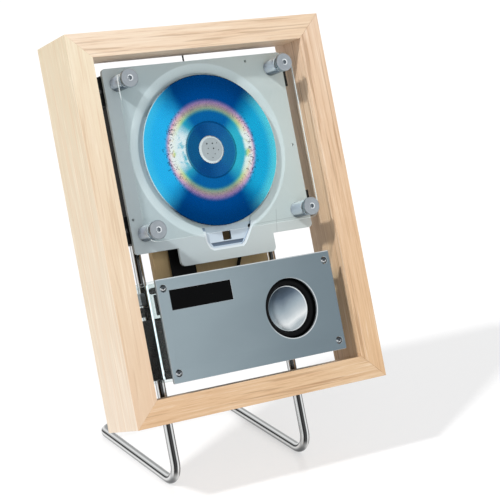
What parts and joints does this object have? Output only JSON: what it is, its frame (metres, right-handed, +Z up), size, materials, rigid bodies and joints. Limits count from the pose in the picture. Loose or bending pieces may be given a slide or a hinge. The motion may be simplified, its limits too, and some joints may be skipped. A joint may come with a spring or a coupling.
{
  "type": "framed disc player",
  "caption": "Disc player in a deep wooden picture frame, with clear cover, metal control panel, loudspeaker and a bent rod stand.",
  "frame": {"origin": "on the floor, in the middle of the object's width and depth", "axes": "+X to the viewer's right, +Y away from the viewer to the back, +Z up; the frame leans back 22.5 degrees from upright"},
  "size_m": [0.228, 0.1636, 0.3491],
  "materials": {
    "wood": "satin pale oak with fine straight grain",
    "ply": "matt tan board",
    "rod": "polished",
    "steel": "satin",
    "dark_steel": "satin dark grey",
    "deck": "satin light grey",
    "anodised": "satin anodised, blue-grey",
    "aluminium": "bright turned",
    "black": "satin black",
    "gloss_black": "gloss black",
    "clear": "clear, polished edges",
    "disc": "metallised blue, iridescent",
    "clamp": "polished",
    "rubber": "matt black",
    "board": "green circuit board",
    "brass": "satin",
    "lens": "coated lens",
    "cord": "braided black cord",
    "cable": "satin black"
  },
  "bodies": {
    "frame": {"frame_left_stile": "wood", "frame_right_stile": "wood", "frame_top_rail": "wood", "frame_bottom_rail": "wood", "hanger_plates": "steel", "hanger_screws": "steel", "wire_stand": "rod", "rod_saddles": "steel", "saddle_screws": "steel", "back_board": "ply", "board_screws": "steel", "rod_blocks": "dark_steel", "block_screws": "steel", "deck_plate": "deck", "drive_chassis": "dark_steel", "side_brackets": "dark_steel", "mech_plate": "steel", "guide_rods": "rod", "sled_motor": "steel", "spindle_motor": "steel", "drive_board": "board", "standoff_barrels": "aluminium", "clear_cover": "clear", "control_panel": "anodised", "panel_screws": "steel", "panel_spacers": "black", "display_lens": "gloss_black", "display_module": "black", "speaker_basket": "dark_steel", "speaker_surround": "rubber", "speaker_magnet": "steel", "carrier_plate": "clear", "clear_case": "clear", "battery_box": "black", "amp_box": "black", "amp_board": "board", "power_inlet": "steel", "audio_jack": "black", "ribbon_cable": "cable", "signal_wire": "cable", "tie_cord": "cord", "cord_ferrule": "brass"},
    "turntable": {"turntable": "black"},
    "disc": {"disc": "disc"},
    "disc_clamp": {"disc_clamp": "clamp"},
    "pickup": {"pickup_sled": "black", "pickup_lens": "lens"},
    "lead_screw": {"lead_screw": "brass"},
    "cap_top_left": {"cap_top_left": "aluminium"},
    "cap_top_right": {"cap_top_right": "aluminium"},
    "cap_bottom_left": {"cap_bottom_left": "aluminium"},
    "cap_bottom_right": {"cap_bottom_right": "aluminium"},
    "speaker_dish": {"speaker_dish": "aluminium"},
    "button_power": {"button_power": "black"},
    "button_play": {"button_play": "black"},
    "button_next": {"button_next": "black"},
    "button_back": {"button_back": "black"}
  },
  "joints": [
    {"name": "turntable_spin", "type": "hinge", "parent": "frame", "child": "turntable", "pos_m": [0, 0.01085, 0.25203], "axis": [0, -0.9239, 0.3827], "continuous": true},
    {"name": "disc_lift", "type": "slide", "parent": "turntable", "child": "disc", "axis": [0, -0.9239, 0.3827], "range_m": [0, 0.007]},
    {"name": "clamp_lift", "type": "slide", "parent": "disc", "child": "disc_clamp", "axis": [0, -0.9239, 0.3827], "range_m": [0, 0.0025]},
    {"name": "pickup_slide", "type": "slide", "parent": "frame", "child": "pickup", "axis": [1, 0, 0], "range_m": [0, 0.034]},
    {"name": "lead_screw_turn", "type": "hinge", "parent": "frame", "child": "lead_screw", "pos_m": [0.04, 0.02918, 0.27799], "axis": [1, 0, 0], "range_deg": [-30, 4120]},
    {"name": "cap_top_left_turn", "type": "hinge", "parent": "frame", "child": "cap_top_left", "pos_m": [-0.0698, 0.01337, 0.31561], "axis": [0, -0.9239, 0.3827], "continuous": true},
    {"name": "cap_top_right_turn", "type": "hinge", "parent": "frame", "child": "cap_top_right", "pos_m": [0.0698, 0.01337, 0.31561], "axis": [0, -0.9239, 0.3827], "continuous": true},
    {"name": "cap_bottom_left_turn", "type": "hinge", "parent": "frame", "child": "cap_bottom_left", "pos_m": [-0.0698, -0.03125, 0.20788], "axis": [0, -0.9239, 0.3827], "continuous": true},
    {"name": "cap_bottom_right_turn", "type": "hinge", "parent": "frame", "child": "cap_bottom_right", "pos_m": [0.0698, -0.03125, 0.20788], "axis": [0, -0.9239, 0.3827], "continuous": true},
    {"name": "dish_move", "type": "slide", "parent": "frame", "child": "speaker_dish", "axis": [0, 0.9239, -0.3827], "range_m": [-0.001, 0.001], "stiffness_N_per_m": 900},
    {"name": "press_power", "type": "slide", "parent": "frame", "child": "button_power", "axis": [0, -0.9239, 0.3827], "range_m": [0, 0.001], "stiffness_N_per_m": 300, "springref_m": -0.0006},
    {"name": "press_play", "type": "slide", "parent": "frame", "child": "button_play", "axis": [0, -0.9239, 0.3827], "range_m": [0, 0.001], "stiffness_N_per_m": 300, "springref_m": -0.0006},
    {"name": "press_next", "type": "slide", "parent": "frame", "child": "button_next", "axis": [0, -0.9239, 0.3827], "range_m": [0, 0.001], "stiffness_N_per_m": 300, "springref_m": -0.0006},
    {"name": "press_back", "type": "slide", "parent": "frame", "child": "button_back", "axis": [0, -0.9239, 0.3827], "range_m": [0, 0.001], "stiffness_N_per_m": 300, "springref_m": -0.0006}
  ],
  "couplings": [
    {"joint": "lead_screw_turn", "follows": "pickup_slide", "rad_per_m": 2094.4}
  ]
}
